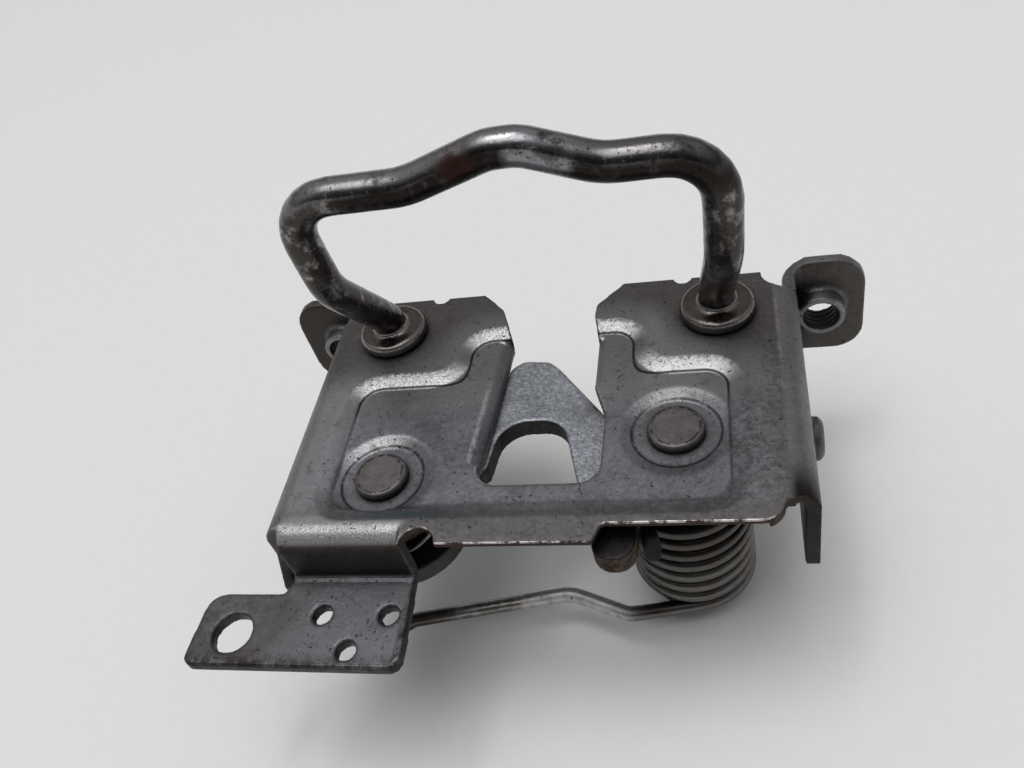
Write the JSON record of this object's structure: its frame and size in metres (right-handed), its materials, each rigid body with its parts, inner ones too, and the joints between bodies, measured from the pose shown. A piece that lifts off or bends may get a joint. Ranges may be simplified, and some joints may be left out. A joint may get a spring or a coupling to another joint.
{
  "type": "bonnet latch",
  "caption": "Vehicle bonnet latch: folded steel frame with bent striker hoop, forked rotary catch, hooked pawl, torsion spring, tapped ears and a cable tab.",
  "frame": {"origin": "midway between the two ear threads, on the ear face that meets the car body", "axes": "+X across the frame to the catch side, +Y out of the ear face, +Z out of the front of the plate"},
  "size_m": [0.1252, 0.0856, 0.0981],
  "materials": {
    "zinc_sheet": "dull zinc plate with grime and rust stains",
    "dark_bar": "worn dark steel with streaks and rust spots",
    "pale_zinc": "speckled pale zinc plate",
    "rivet_steel": "flattened rivet heads, dull zinc",
    "spring_steel": "dark oiled spring wire",
    "black_plastic": "black moulded sleeve"
  },
  "bodies": {
    "base": {"frame": "zinc_sheet", "hoop": "dark_bar", "catch_spindle": "rivet_steel", "catch_bush": "black_plastic", "catch_washer": "rivet_steel", "spring": "spring_steel", "pawl_spindle": "rivet_steel", "pawl_drum": "black_plastic", "pawl_spring": "spring_steel", "pawl_washer": "rivet_steel"},
    "catch": {"catch": "pale_zinc"},
    "pawl": {"pawl": "pale_zinc"}
  },
  "joints": [
    {"name": "catch_turn", "type": "hinge", "parent": "base", "child": "catch", "pos_m": [0.0253, -0.0452, 0.0059], "axis": [0, 0, -1], "range_deg": [0, 70]},
    {"name": "pawl_turn", "type": "hinge", "parent": "base", "child": "pawl", "pos_m": [-0.0276, -0.0535, 0.0059], "axis": [0, 0, -1], "range_deg": [0, 14]}
  ]
}
